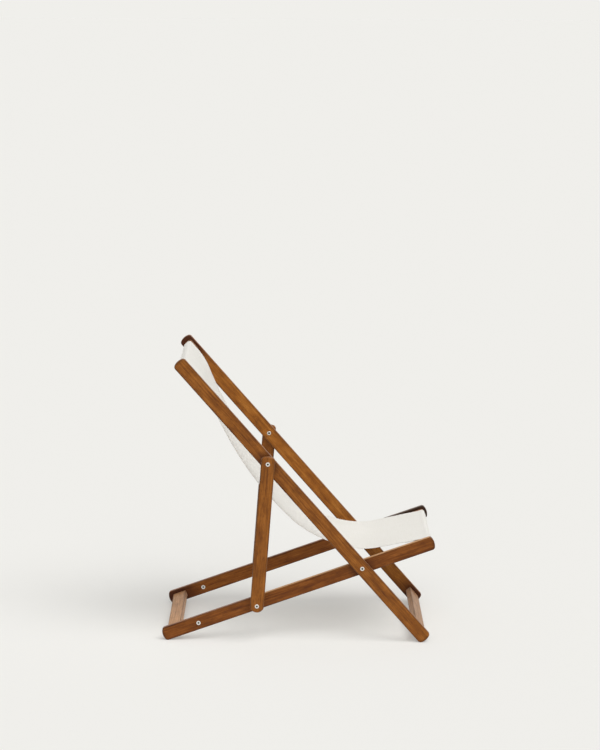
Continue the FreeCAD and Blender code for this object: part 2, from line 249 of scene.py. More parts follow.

    # Painted shade beside the joints at the ends, round the point where another plank covers the outer
    # face, and over the front's last stretch, and a painted highlight on the top; outward is how far a
    # point lies outside the plank's middle
    outward = add(tree, "ShaderNodeSeparateXYZ", {0: aside}).outputs[1]
    along = add(tree, "ShaderNodeSeparateXYZ", {0: grain}).outputs[0]
    middle_part, outer_part = FACE_DEPTHS
    darker = []
    # Painted shade on the inner face, over the given lengths from the rear and front ends
    for end, reach in zip((-half[0], half[0]), joint_shade_reach):
        if reach:
            near_end = end - math.copysign(0.4 * reach, end)
            clear = end - math.copysign(reach, end)
            spread = add(
                tree, "ShaderNodeMapRange", {0: along, 1: clear, 2: near_end, 3: 0.0, 4: 0.9}
            ).outputs[0]
            inner_face = add(
                tree, "ShaderNodeMapRange", {0: outward, 1: -middle_part, 2: -outer_part, 3: 0.0, 4: 1.0}
            ).outputs[0]
            darker.append((spread, inner_face, PAINTED_SHADE_TONE))
    # Painted shade on the outer face round the point where another plank covers it
    if cover_shade_point is not None:
        level = add(
            tree, "ShaderNodeVectorMath", {0: place, 1: (1, 0, 1)}, operation="MULTIPLY"
        ).outputs[0]
        cover_shade_middle = (cover_shade_point[0], 0, cover_shade_point[2])
        from_cover_shade = add(
            tree, "ShaderNodeVectorMath", {0: level, 1: cover_shade_middle}, operation="DISTANCE"
        ).outputs[1]
        spread = add(
            tree,
            "ShaderNodeMapRange",
            {0: from_cover_shade, 1: COVER_SHADE_REACH[0], 2: COVER_SHADE_REACH[1], 3: 0.55, 4: 0.0},
        ).outputs[0]
        outer_face = add(
            tree, "ShaderNodeMapRange", {0: outward, 1: middle_part, 2: outer_part, 3: 0.0, 4: 1.0}
        ).outputs[0]
        darker.append((spread, outer_face, PAINTED_SHADE_TONE))
    # Painted shade over the front's last stretch, on every face but the outer one
    if front_shade:
        behind = half[0] - FRONT_SHADE_LENGTH
        spread = add(
            tree, "ShaderNodeMapRange", {0: along, 1: behind, 2: behind + FRONT_SHADE_FADE, 3: 0.0, 4: front_shade}
        ).outputs[0]
        all_but_outer = add(
            tree, "ShaderNodeMapRange", {0: outward, 1: middle_part, 2: outer_part, 3: 1.0, 4: 0.0}
        ).outputs[0]
        darker.append((spread, all_but_outer, FRONT_SHADE_TONE))
    for spread, face, tone in darker:
        share = add(tree, "ShaderNodeMath", {0: spread, 1: face}, operation="MULTIPLY").outputs[0]
        colour = add(
            tree, "ShaderNodeMix", {0: share, 6: colour, 7: linear(tone)}, data_type="RGBA"
        ).outputs[2]
    # Painted highlight: the top turns pale in streaks from a little behind the middle to the front
    if top_highlight:
        upward = add(tree, "ShaderNodeSeparateXYZ", {0: grain}).outputs[2]
        forward = add(
            tree,
            "ShaderNodeMapRange",
            {0: along, 1: TOP_HIGHLIGHT_FROM[0], 2: TOP_HIGHLIGHT_FROM[1], 3: 0.0, 4: 2 * top_highlight},
        ).outputs[0]
        patchy = add(
            tree, "ShaderNodeMath", {0: forward, 1: marks["streaks"]}, operation="MULTIPLY"
        ).outputs[0]
        lower, upper = (half[2] - depth_below for depth_below in TOP_HIGHLIGHT_DEPTHS)
        top = add(
            tree, "ShaderNodeMapRange", {0: upward, 1: lower, 2: upper, 3: 0.0, 4: patchy}
        ).outputs[0]
        colour = add(
            tree, "ShaderNodeMix", {0: top, 6: colour, 7: linear(TOP_HIGHLIGHT_TONE)}, data_type="RGBA"
        ).outputs[2]

    relief = add(
        tree, "ShaderNodeMath", {0: open_pores, 1: -1.2, 2: marks["fibres"]}, operation="MULTIPLY_ADD"
    ).outputs[0]
    bump = add(
        tree, "ShaderNodeBump", {"Height": relief, "Strength": 0.35, "Distance": 0.0003}
    ).outputs[0]
    satin = add(
        tree, "ShaderNodeMapRange", {0: marks["streaks"], 1: 0.3, 2: 0.7, 3: 0.50, 4: 0.38}
    ).outputs[0]
    tree.links.new(colour, shader.inputs["Base Color"])
    tree.links.new(satin, shader.inputs["Roughness"])
    tree.links.new(bump, shader.inputs["Normal"])
    shader.inputs["IOR"].default_value = 1.47
    shader.inputs["Specular IOR Level"].default_value = 0.2
    shader.inputs["Sheen Weight"].default_value = 0.28
    shader.inputs["Sheen Roughness"].default_value = 0.35
    shader.inputs["Sheen Tint"].default_value = linear("#E8D8C8")
    return material


def middle_of(node):
    """The middle of a node's box."""
    low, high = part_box(node)
    return (np.array(low) + np.array(high)) / 2


STOCK = (0.020, 0.045)
BACK_RAIL_LENGTH = 1.2295
BACK_RAIL_ASIDE = 0.2625
# The far (left) rail's lighter tones are painted light: they stand for the light that the white canvas
# throws back on its inner face
BOUNCE_LIT_PLANK = ("#65350E", "#90561B", "#AE712E")
DARK_PLANK = ("#5A2E0E", "#854E18", "#A6682A")
for side, tones in (("left", BOUNCE_LIT_PLANK), ("right", DARK_PLANK)):
    rail = f"back_rail_{side}"
    timber = oiled_acacia(
        f"oiled_acacia_{rail}",
        turn=(0, -back_tilt, 0),
        centre=middle_of(rail),
        size=(BACK_RAIL_LENGTH, *STOCK),
        tones=tones,
        off_middle=BACK_RAIL_ASIDE,
        # Painted shade on the inner face near both ends, and on the outer face round the prop's pivot
        joint_shade_reach=(0.13, 0.11),
        cover_shade_point=prop_pivot,
    )
    dress(timber, rail)


# Top bar and front foot bar: the two cross pieces of the back frame, tenoned into its rails. The top
# bar is thick and well rounded, because the canvas bears on it; the foot bar is a flat slat, and its
# paler tones are painted light, for the light that falls on its upper face.
across_back = (0, -back_tilt, -math.pi / 2)
SLING_BAR = (0.045, 0.028)
FOOT_BAR = (0.045, 0.020)
BACK_BAR_LENGTH = 0.505
PALE_PAINTED_LIGHT_PLANK = ("#79502A", "#97683E", "#B08053")
for bar, section, tones in (
    ("top_bar", SLING_BAR, DARK_PLANK),
    ("front_foot_bar", FOOT_BAR, PALE_PAINTED_LIGHT_PLANK),
):
    size = (BACK_BAR_LENGTH, *section)
    dress(oiled_acacia(f"oiled_acacia_{bar}", across_back, middle_of(bar), size, tones), bar)


# Seat rails: the two shorter planks of the inner frame, of the same stock as the back rails. They carry
# the seat's front bar at one end and stand on the floor with the other.
foot = middle_of("foot_bolt_left")
seat_tilt = math.atan2(crossing[2] - foot[2], crossing[0] - foot[0])
DEEP_PLANK = ("#4F2509", "#754011", "#925621")
REDDISH_PLANK = ("#5E2E0E", "#8A4E19", "#A8682B")
SEAT_RAIL_LENGTH = 0.944
SEAT_RAIL_ASIDE = 0.240
# The far (left) rail gets painted shade over its front end, the near (right) one a painted highlight on
# its top
for side, tones, top_highlight, front_shade in (
    ("left", REDDISH_PLANK, 0.0, 0.85),
    ("right", DEEP_PLANK, 0.7, 0.0),
):
    rail = f"seat_rail_{side}"
    timber = oiled_acacia(
        f"oiled_acacia_{rail}",
        turn=(0, seat_tilt, 0),
        centre=middle_of(rail),
        size=(SEAT_RAIL_LENGTH, *STOCK),
        tones=tones,
        off_middle=SEAT_RAIL_ASIDE,
        # Painted shade on the inner face near both ends, and on the outer face round the crossing
        joint_shade_reach=(0.13, 0.32),
        cover_shade_point=crossing,
        top_highlight=top_highlight,
        front_shade=front_shade,
    )
    dress(timber, rail)


# Seat front bar and rear foot bar: the cross pieces of the seat frame. The front bar carries the canvas
# and is rounded like the top bar; the rear bar is a flat slat like the front one, and its still paler
# tones are painted light in the same way.
across_seat = (0, seat_tilt, -math.pi / 2)
PALEST_PAINTED_LIGHT_PLANK = ("#956438", "#B88353", "#D09B6A")
SEAT_BAR_LENGTH = 0.46
for bar, section, tones in (
    ("seat_front_bar", SLING_BAR, DARK_PLANK),
    ("rear_foot_bar", FOOT_BAR, PALEST_PAINTED_LIGHT_PLANK),
):
    size = (SEAT_BAR_LENGTH, *section)
    dress(oiled_acacia(f"oiled_acacia_{bar}", across_seat, middle_of(bar), size, tones), bar)


# Props: one short strut at each side, outside the rails, that holds the back up at its recline. They
# are of the same stock as the rails, with both ends rounded over their bolts.
prop_turn = math.atan2(prop_pivot[2] - foot[2], foot[0] - prop_pivot[0])
PROP_LENGTH = 0.5195
PROP_ASIDE = 0.285
for side in ("left", "right"):
    prop = f"prop_{side}"
    timber = oiled_acacia(
        f"oiled_acacia_{prop}",
        turn=(0, -prop_turn, 0),
        centre=middle_of(prop),
        size=(PROP_LENGTH, *STOCK),
        tones=DARK_PLANK,
        off_middle=PROP_ASIDE,
        end_tone=0.9,
    )
    dress(timber, prop)


# Bolts, barrel nuts, washers, sleeves and spacers: turned steel, zinc plated to a soft pale shine. The
# lathe leaves fine rings round each axis, and painted shade makes the key holes and bores near black
# inside.
LATHE_RING = 0.0005
BORE_SHADE_REACH = (0.0029, 0.0032)
PLATING_TONES = ("#DCDAD4", "#EEECE8")
BORE_SHADE_TONE = "#14110F"


def plated_steel(name, axis):
    """Zinc-plated steel, turned about an axis along Y through this point: lathe rings, a faintly mottled
    plating, and painted shade, dull and near black, within about 3 mm of the axis, where the key hole or
    the bore is."""
    material, tree, shader = new_material(name)
    place = add(tree, "ShaderNodeTexCoord", {}).outputs["Object"]
    turned_about = add(
        tree, "ShaderNodeMapping", {"Vector": place, "Location": (-axis[0], 0, -axis[2])}
    ).outputs[0]
    # These rings are coarser than a lathe's feed, so that they can be seen close to
    rings = add(
        tree,
        "ShaderNodeTexWave",
        {"Vector": turned_about, "Scale": wave_scale(LATHE_RING), "Distortion": 0.6},
        wave_type="RINGS",
        rings_direction="Y",
    ).outputs[1]
    mottle = add(
        tree, "ShaderNodeTexNoise", {"Vector": place, "Scale": 1000 / 2.5, "Detail": 3.0}
    ).outputs[0]
    flat = add(
        tree, "ShaderNodeVectorMath", {0: turned_about, 1: (1, 0, 1)}, operation="MULTIPLY"
    ).outputs[0]
    radius = add(tree, "ShaderNodeVectorMath", {0: flat}, operation="LENGTH").outputs[1]
    # Painted shade: near black and dull within about 3 mm of the axis, inside the key hole or bore
    outside_bore_shade = add(
        tree, "ShaderNodeMapRange", {0: radius, 1: BORE_SHADE_REACH[0], 2: BORE_SHADE_REACH[1]}
    ).outputs[0]
    dark, light = (linear(tone) for tone in PLATING_TONES)
    plating = add(tree, "ShaderNodeMix", {0: mottle, 6: dark, 7: light}, data_type="RGBA").outputs[2]
    colour = add(
        tree, "ShaderNodeMix", {0: outside_bore_shade, 6: linear(BORE_SHADE_TONE), 7: plating}, data_type="RGBA"
    ).outputs[2]
    sheen = add(
        tree, "ShaderNodeMapRange", {"Value": rings, "To Min": 0.26, "To Max": 0.40}
    ).outputs[0]
    dull = add(tree, "ShaderNodeMix", {0: outside_bore_shade, 2: 0.7, 3: sheen}, data_type="FLOAT").outputs[0]
    bump = add(
        tree, "ShaderNodeBump", {"Height": rings, "Strength": 0.15, "Distance": 0.00005}
    ).outputs[0]
    tree.links.new(colour, shader.inputs["Base Color"])
    tree.links.new(dull, shader.inputs["Roughness"])
    tree.links.new(bump, shader.inputs["Normal"])
    shader.inputs["Metallic"].default_value = 1.0
    return material


spare_hole = middle_of("recline_sleeve_left")
steels = {}
for place_name, axis, kinds in (
    ("crossing", crossing, ("frame_pivot_bolt", "frame_pivot_nut", "frame_pivot_washer")),
    ("prop_top", prop_pivot, ("prop_pivot_bolt", "prop_pivot_nut", "prop_pivot_washer")),
    ("prop_foot", foot, ("foot_bolt", "foot_spacer", "foot_sleeve")),
    ("spare_hole", spare_hole, ("recline_sleeve",)),
):
    steels[place_name] = plated_steel(f"zinc_plated_steel_{place_name}", axis)
    dress(steels[place_name], *[f"{kind}_{side}" for kind in kinds for side in ("left", "right")])


# Webs in the two spare sleeves: each sleeve is drilled and tapped from both ends, and a thin web of
# steel is left between the holes, dished by the drill's point, so that no light comes through.
WEB_RADIUS = 0.00304
WEB_HALF = 0.0006
DRILL_DISH = 0.0004
WEB_RINGS = (0.0002, 0.0012, 0.0022, WEB_RADIUS)
WEB_SIDES = 24


def surface(name, points, groups, maps=None):
    """A mesh object from an array of points and from arrays of faces, each with its own number of
    corners, and with a map in metres if given."""
    faces = sum([group.tolist() for group in groups], [])
    mesh = bpy.data.meshes.new(name)
    mesh.from_pydata(points.reshape(-1, 3).tolist(), [], faces)
    mesh.polygons.foreach_set("use_smooth", np.ones(len(faces), bool))
    if maps is not None:
        corners = np.empty(len(mesh.loops), int)
        mesh.loops.foreach_get("vertex_index", corners)
        layer = mesh.uv_layers.new(name="threads")
        layer.data.foreach_set("uv", maps.reshape(-1, 2)[corners].astype(np.float32).ravel())
    made = bpy.data.objects.new(name, mesh)
    bpy.context.scene.collection.objects.link(made)
    return made


def dished_web(name, centre):
    """A disc turned about Y: a profile that goes out along one face, over the rim and back along the
    other, carried round in a circle. Each face is a cone, higher by the dish at its rim than at its
    middle, and a flat closes it where the drill's point stood."""
    out = np.array(WEB_RINGS)
    level = WEB_HALF - DRILL_DISH * (1 - out / WEB_RADIUS)
    radius = np.append(out, out[::-1])[:, None]
    height = np.append(level, -level[::-1])[:, None]
    around = np.linspace(0, 2 * math.pi, WEB_SIDES, endpoint=False)[None, :]
    points = [radius * np.sin(around), height + 0 * around, radius * np.cos(around)]
    points = np.stack(points, -1) + centre
    index = np.arange(points.shape[0] * WEB_SIDES).reshape(-1, WEB_SIDES)
    beside = np.roll(index, -1, 1)
    rings = np.stack([index[:-1], index[1:], beside[1:], beside[:-1]], -1).reshape(-1, 4)
    return surface(name, points, [rings, index[:1], index[-1:, ::-1]])


for side in ("left", "right"):
    web = dished_web(f"recline_web_{side}", middle_of(f"recline_sleeve_{side}"))
    # The webs take the spare hole's steel, so most of each shows in its near-black painted shade
    web.data.materials.append(steels["spare_hole"])
    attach(web, "seat_frame")


# Sling: one length of heavy cotton canvas, hemmed down both sides. Each end goes round its bar and is
# sewn down under the cloth with two rows of stitches, and between the bars it hangs in a slack curve.
# The cloth and its hems
CLOTH_WIDTH = 0.412
CLOTH_HALF = 0.0005
HEM_WIDTH = 0.015
HEM_STEP = 0.0006
HEM_FOLD = 0.0008
HEM_STITCH = 0.0125
HEM_PUFF = 0.00025
GROOVE_DEPTH = 0.00022
GROOVE_WIDTH = 0.0009
RIM = 0.0009
# The bars that it goes round
BAR_HALF = 0.0225
BAR_ROUNDING = 0.008
BAR_SIDE = 0.012
BAR_FLAT = BAR_HALF - BAR_ROUNDING
CLOTH_LIFT = 0.0015
RISE = 0.014 + CLOTH_LIFT
# The line in which it hangs
SHOULDER_RADIUS = 0.238
SHOULDER_TURN = math.radians(19.4)
HOLLOW_RADIUS = 0.323
FRONT_RADIUS = 0.200
FRONT_SETTLE = 0.004
LOWEST = crossing[[0, 2]] + (0.007, 0.051)
# Its sewn-down ends, and how much of it goes round each bar before they begin
TUCK_NEAR = 0.031
TUCK_FAR = 0.060
TUCK_GAP = 0.0012
TUCK_LEAD = 0.016
TUCK_SEAM = 0.046
TOP_TURN = 0.0895
FRONT_TURN = 0.104
TURN_FADE = 0.02
# How far it sags, hangs unevenly, waves, ripples and puckers
SAG = 0.0045
RIGHT_HIGHER = 0.0055
RIGHT_LOWER = 0.0060
EDGE_WAVE = 0.0006
RIPPLE = 0.0005
PUCKER = 0.00022
# How close together its mesh's stations are
HANGING_PITCH = 0.004
BENT_PITCH = 0.0014
SHOULDER_END = 0.03


def ahead(angle):
    """The unit step along a heading in the X-Z plane."""
    return np.stack([np.cos(angle), np.sin(angle)], -1)


def left_of(angle):
    """The unit step to the left of a heading, which is the cloth's upper side."""
    return np.stack([-np.sin(angle), np.cos(angle)], -1)


def run(start, heading, steps, pitch=0.0005):
    """A line that turns evenly through each step (length, turn): the heading is the running sum of the
    turns, and the place is the running sum of short moves along the heading."""
    lengths, turns = np.array(steps).T
    ends = np.append(0, np.cumsum(lengths))
    along = np.linspace(0, ends[-1], int(ends[-1] / pitch) + 1)
    angle = heading + np.interp(along, ends, np.append(0, np.cumsum(turns)))
    moves = np.diff(along)[:, None] * ahead((angle[1:] + angle[:-1]) / 2)
    return start + np.append([[0, 0]], np.cumsum(moves, 0), 0)


# The cloth's middle between the bars: along the top bar, back over a shoulder, down the back, round the
# hollow to its lowest point, and straight up to the middle of the front bar's top
on_top_bar = -back_tilt
leaving = on_top_bar - SHOULDER_TURN
top_edge = middle_of("top_bar")[[0, 2]] - BAR_FLAT * ahead(on_top_bar) + RISE * left_of(on_top_bar)
front_top = middle_of("seat_front_bar")[[0, 2]] + RISE * left_of(seat_tilt)
shoulder = top_edge + 2 * BAR_FLAT * ahead(on_top_bar)
hang = shoulder + SHOULDER_RADIUS * (left_of(leaving) - left_of(on_top_bar))
offset = hang - LOWEST - (0, HOLLOW_RADIUS)
back_radius = (HOLLOW_RADIUS**2 - offset @ offset) / (2 * (offset @ left_of(leaving) + HOLLOW_RADIUS))
toward = -offset - back_radius * left_of(leaving)
joining = math.atan2(toward[0], -toward[1])
climb = front_top - LOWEST - (0, FRONT_RADIUS)
straight = math.sqrt(climb @ climb - FRONT_RADIUS**2)
arriving = math.atan2(climb[1], climb[0]) + math.atan2(FRONT_RADIUS, straight)
strip_steps = [
    (2 * BAR_FLAT, 0),
    (SHOULDER_RADIUS * SHOULDER_TURN, -SHOULDER_TURN),
    (back_radius * (joining - leaving), joining - leaving),
    (-HOLLOW_RADIUS * joining, -joining),
    (FRONT_RADIUS * arriving, arriving),
    (straight, 0),
]
strip = run(top_edge, on_top_bar, strip_steps)
strip_length = sum(length for length, turn in strip_steps)

# Round each bar: three corners with its side and its under side between them, and half-way up its other
# side. The cloth meets the front bar at the middle of its top, and settles on it before the first corner.
corner = (math.pi / 2 * (BAR_ROUNDING + CLOTH_LIFT), math.pi / 2)
round_bar = [corner, (BAR_SIDE, 0), corner, (2 * BAR_FLAT, 0), corner, (BAR_SIDE / 2, 0)]
round_top = run(top_edge, on_top_bar + math.pi, round_bar)[::-1]
settle = [(FRONT_SETTLE, seat_tilt - arriving), (BAR_FLAT - FRONT_SETTLE, 0)]
round_front = run(strip[-1], arriving, settle + [(length, -turn) for length, turn in round_bar])


def tuck(wrap_end, before_end, above):
    """The sewn-down end: a line a little more than the cloth's thickness below the cloth above it, and a
    cubic that leads to it from the end of the turn round the bar."""
    moves = np.gradient(above, axis=0)
    angle = np.arctan2(moves[:, 1], moves[:, 0])
    side = -1 if above[0, 0] < above[-1, 0] else 1
    sewn = above + side * TUCK_GAP * left_of(angle)
    t = np.linspace(0, 1, 40)[1:-1, None]
    leave = TUCK_LEAD * (wrap_end - before_end) / np.linalg.norm(wrap_end - before_end)
    arrive = TUCK_LEAD * ahead(angle[0])
    lead = (
        (2 * t**3 - 3 * t**2 + 1) * wrap_end
        + (t**3 - 2 * t**2 + t) * leave
        + (3 * t**2 - 2 * t**3) * sewn[0]
        + (t**3 - t**2) * arrive
    )
    return np.concatenate([lead, sewn])


def stretch_of(line, near, far):
    """The part of a line between two distances from its start."""
    along = np.append(0, np.cumsum(np.linalg.norm(np.diff(line, axis=0), axis=1)))
    return line[(along >= near) & (along <= far)]


above_top = stretch_of(strip, BAR_FLAT + TUCK_NEAR, BAR_FLAT + TUCK_FAR)
above_front = stretch_of(strip[::-1], TUCK_NEAR, TUCK_FAR)
top_tuck = tuck(round_top[0], round_top[1], above_top)
front_tuck = tuck(round_front[-1], round_front[-2], above_front)
middle_line = np.concatenate([top_tuck[::-1], round_top[:-1], strip, round_front[1:], front_tuck])
line_along = np.append(0, np.cumsum(np.linalg.norm(np.diff(middle_line, axis=0), axis=1)))
line_moves = np.gradient(middle_line, axis=0)
line_up = np.stack([-line_moves[:, 1], line_moves[:, 0]], 1)
line_up /= np.linalg.norm(line_up, axis=1)[:, None]
cut_length = line_along[-1]
strip_start = line_along[len(top_tuck) + len(round_top) - 1]
strip_end = strip_start + strip_length


def drape(across, along):
    """How far the cloth stands off its middle line: it sinks towards its middle, its right side hangs
    lower behind the back and higher under the seat, its free edges wave, slow ripples cross it, and it
    puckers along the seams."""
    share = np.clip((along - strip_start) / strip_length, 0, 1)
    free = np.sin(math.pi * share)
    from_edge = CLOTH_WIDTH / 2 - np.abs(across)
    sink = -SAG * free * (1 - (2 * across / CLOTH_WIDTH) ** 2)
    higher = RIGHT_HIGHER * np.exp(-(((share - 0.70) / 0.12) ** 2))
    lower = RIGHT_LOWER * np.exp(-(((share - 0.41) / 0.21) ** 4))
    uneven = (higher - lower) * (0.5 - across / CLOTH_WIDTH)
    fading = np.exp(-from_edge / 0.035)
    wave = EDGE_WAVE * free * fading * np.sin(along / 0.037 + 4 * np.sign(across))
    ripple = np.sin(across / 0.027 + along / 0.068) + np.sin(across / 0.019 - along / 0.051 + 2.1)
    seams = np.array([strip_start + BAR_FLAT + TUCK_SEAM, strip_end - TUCK_SEAM])
    from_seam = np.abs(np.asarray(along)[..., None] - seams).min(-1)
    pucker = np.sin(across / 0.0026 + 1.7 * np.sin(across / 0.041)) * np.exp(-((from_seam / 0.02) ** 2))
    return sink + uneven + wave + RIPPLE * free * ripple + PUCKER * pucker


def hem(across):
    """1 where the cloth is folded under along its edges, 0 elsewhere."""
    return np.clip((HEM_WIDTH + HEM_STEP - (CLOTH_WIDTH / 2 - np.abs(across))) / HEM_STEP, 0, 1)


def cloth(across, along, height):
    """A point of the cloth: the middle line's place, moved up by the height, the drape and, where the
    end is tucked under, the folded hems that lie between."""
    sewn_under = np.clip((strip_start - TOP_TURN - along) / TURN_FADE, 0, 1)
    sewn_under = sewn_under + np.clip((along - strip_end - FRONT_TURN) / TURN_FADE, 0, 1)
    up = height + drape(across, along) + 2 * HEM_FOLD * hem(across) * sewn_under
    x, z = (
        np.interp(along, line_along, middle_line[:, i]) + up * np.interp(along, line_along, line_up[:, i])
        for i in (0, 1)
    )
    return np.stack(np.broadcast_arrays(x, across, z), -1)


# Section across the cloth: the upper face from edge to edge, a rounded fold, the lower face back, and
# the other fold. Each edge is turned under and stitched, which draws a groove. The section's points crowd
# there, at these distances from the edge in millimetres.
in_hem = np.array([0.9, 2.5, 5, 7.5, 9.8, 11.3, 12, 12.5, 13, 13.7, 14.9, 15.7])
near_edge = in_hem / 1000 - CLOTH_WIDTH / 2
between = np.linspace(near_edge[-1], -near_edge[-1], 38)[1:-1]
over = np.concatenate([near_edge, between, -near_edge[::-1]])
in_from_edge = CLOTH_WIDTH / 2 - np.abs(over)
groove = GROOVE_DEPTH * np.exp(-(((in_from_edge - HEM_STITCH) / GROOVE_WIDTH) ** 2))
puff = HEM_PUFF * np.sin(math.pi * np.clip(in_from_edge / HEM_STITCH, 0, 1))
upper = CLOTH_HALF + puff - groove
lower = -CLOTH_HALF - HEM_FOLD * hem(over) - puff + groove
fold = np.radians([60, 20, -20, -60])
fold_across = CLOTH_WIDTH / 2 - RIM + RIM * np.cos(fold)
fold_height = -HEM_FOLD / 2 + RIM * np.sin(fold)
section_across = np.concatenate([over, fold_across, over[::-1], -fold_across[::-1]])
section_height = np.concatenate([upper, fold_height, lower[::-1], fold_height[::-1]])

# Stations along the cloth: wide apart where it hangs, and closer where it bends round the bars
hanging = (line_along > strip_start + SHOULDER_END) & (line_along < strip_end)
crowding = np.where(hanging, 1 / HANGING_PITCH, 1 / BENT_PITCH)
crowded = np.append(0, np.cumsum(np.diff(line_along) * (crowding[1:] + crowding[:-1]) / 2))
stations = np.interp(np.linspace(0, crowded[-1], int(crowded[-1])), crowded, line_along)
grid = cloth(section_across[None, :], stations[:, None], section_height[None, :])
count, ring = grid.shape[:2]

# Faces: round the cloth between the stations, and over both cut ends and their folds
index = np.arange(count * ring).reshape(count, ring)
beside = np.roll(index, -1, 1)
sides = np.stack([index[:-1], index[1:], beside[1:], beside[:-1]], -1).reshape(-1, 4)
opposite = (2 * len(over) + len(fold) - 1) - np.arange(len(over))
first = np.stack([index[0, : len(over) - 1], index[0, 1 : len(over)]], -1)
first = np.concatenate([first, index[0, opposite[1:], None], index[0, opposite[:-1], None]], 1)
last = first[:, ::-1] + (count - 1) * ring
folded = np.arange(len(over) - 1, len(over) + len(fold) + 1)
first_folds = np.stack([folded, (folded + len(over) + len(fold)) % ring])
last_folds = first_folds[:, ::-1] + (count - 1) * ring
maps = np.stack(np.broadcast_arrays(section_across[None, :], stations[:, None]), -1)
sling = surface("sling_canvas", grid, [sides, first, last, first_folds, last_folds], maps)


THREAD_SPACING = 0.0016
CANVAS_TONES = ("#E9E6DE", "#F1EFE9")


def cotton_canvas(name):
    """Heavy unbleached cotton canvas in plain weave: matt, faintly fuzzy, with thicker slubs in some
    threads, a little unevenness in its off-white, and painted shade in the dips between the threads."""
    material, tree, shader = new_material(name)
    threads = add(tree, "ShaderNodeUVMap", {}, uv_map="threads").outputs[0]
    # These threads are about twice as coarse as the real ones, so that they show close to
    waves = [
        add(
            tree,
            "ShaderNodeTexWave",
            {"Vector": threads, "Scale": wave_scale(THREAD_SPACING), "Distortion": 0.4},
            bands_direction=way,
        ).outputs[1]
        for way in "XY"
    ]
    weave = add(tree, "ShaderNodeMath", {0: waves[0], 1: waves[1]}, operation="MULTIPLY").outputs[0]
    # Slubs along the warp, slubs along the weft, and clouds of tone, by width and length in millimetres
    marks = []
    for width, length in ((2.2, 70), (70, 2.2), (90, 140)):
        scale = (1000 / width, 1000 / length, 1)
        stretched = add(
            tree, "ShaderNodeVectorMath", {0: threads, 1: scale}, operation="MULTIPLY"
        ).outputs[0]
        mark = add(
            tree,
            "ShaderNodeTexNoise",
            {"Vector": stretched, "Scale": 1.0, "Detail": 2.0},
            noise_dimensions="2D",
        ).outputs[0]
        marks.append(mark)
    along_warp, along_weft, clouds = marks
    uneven = add(tree, "ShaderNodeMath", {0: along_warp, 1: along_weft}, operation="ADD").outputs[0]
    tone = add(tree, "ShaderNodeMapRange", {0: uneven, 1: 0.7, 2: 1.3}).outputs[0]
    tone = add(tree, "ShaderNodeMix", {0: 0.45, 2: tone, 3: clouds}, data_type="FLOAT").outputs[0]
    dark, light = (linear(tone_end) for tone_end in CANVAS_TONES)
    colour = add(tree, "ShaderNodeMix", {0: tone, 6: dark, 7: light}, data_type="RGBA").outputs[2]
    # Painted shade: up to 5 % darker in the dips between the threads
    weave_valley_shade = add(
        tree, "ShaderNodeMapRange", {"Value": weave, "From Max": 0.5, "To Min": 0.95, "To Max": 1.0}
    ).outputs[0]
    colour = add(
        tree, "ShaderNodeVectorMath", {0: colour, "Scale": weave_valley_shade}, operation="SCALE"
    ).outputs[0]
    height = add(
        tree, "ShaderNodeMath", {0: uneven, 1: 0.5, 2: weave}, operation="MULTIPLY_ADD"
    ).outputs[0]
    bump = add(
        tree, "ShaderNodeBump", {"Height": height, "Strength": 0.25, "Distance": 0.0002}
    ).outputs[0]
    tree.links.new(colour, shader.inputs["Base Color"])
    tree.links.new(bump, shader.inputs["Normal"])
    shader.inputs["Roughness"].default_value = 0.9
    shader.inputs["Sheen Weight"].default_value = 0.12
    shader.inputs["Sheen Roughness"].default_value = 0.5
    return material


sling.data.materials.append(cotton_canvas("cotton_canvas"))


# Stitching: polyester thread of the canvas's colour, in lock stitches 3.4 mm apart. One row holds each
# side hem, and two rows close each sleeve; each row shows on both faces of the cloth.
STITCH_PITCH = 0.0034
STITCH_HALF = 0.00135
THREAD_RADIUS = 0.0003
THREAD_LIFT = 0.3 * THREAD_RADIUS
SEAM_INSET = 0.004


def stitch_row(across, along, height, way):
    """Lock stitches at these places: each is a spindle, a circle carried along a short line, whose radius
    goes with the square root of 1.02 - t squared from t = -1 to 1. way is 0 for a row across the cloth
    and 1 for one along it."""
    t = np.array([-1, -0.8, 0, 0.8, 1])[None, :, None]
    around = np.radians([0, 60, 120, 180, 240, 300])[None, None, :]
    radius = THREAD_RADIUS * np.sqrt(1.02 - t**2)
    length = STITCH_HALF * t + 0 * around
    beside = radius * np.cos(around)
    centre = [a.reshape(-1, 1, 1) for a in np.broadcast_arrays(across, along)]
    moved = [length, beside] if way == 0 else [beside, length]
    sign = 1 if height > 0 else -1
    lift = height + sign * THREAD_LIFT + radius * np.sin(around)
    return cloth(centre[0] + moved[0], centre[1] + moved[1], lift)


hem_line = CLOTH_WIDTH / 2 - HEM_STITCH
down = np.arange(strip_start + BAR_FLAT + TUCK_FAR, strip_end - TUCK_FAR, STITCH_PITCH)
aside = np.arange(-CLOTH_WIDTH / 2 + SEAM_INSET, CLOTH_WIDTH / 2 - SEAM_INSET, STITCH_PITCH)
hem_top = CLOTH_HALF
hem_under = -CLOTH_HALF - HEM_FOLD
rows = [stitch_row(side * hem_line, down, face, 1) for side in (-1, 1) for face in (hem_top, hem_under)]
for from_bar in (TUCK_NEAR + SEAM_INSET, TUCK_FAR - SEAM_INSET):
    for along in (
        strip_start + BAR_FLAT + from_bar,
        strip_end - from_bar,
        TUCK_FAR - from_bar,
        cut_length - TUCK_FAR + from_bar,
    ):
        rows.append(stitch_row(aside, along, CLOTH_HALF, 0))
spindles = np.concatenate(rows)
number, rings_each, sides_each = spindles.shape[:3]
index = np.arange(number * rings_each * sides_each).reshape(number, rings_each, sides_each)
beside = np.roll(index, -1, 2)
tube = np.stack([index[:, :-1], beside[:, :-1], beside[:, 1:], index[:, 1:]], -1).reshape(-1, 4)
first_caps = [index[:, 0, [3, 2, 1, 0]], index[:, 0, [0, 5, 4, 3]]]
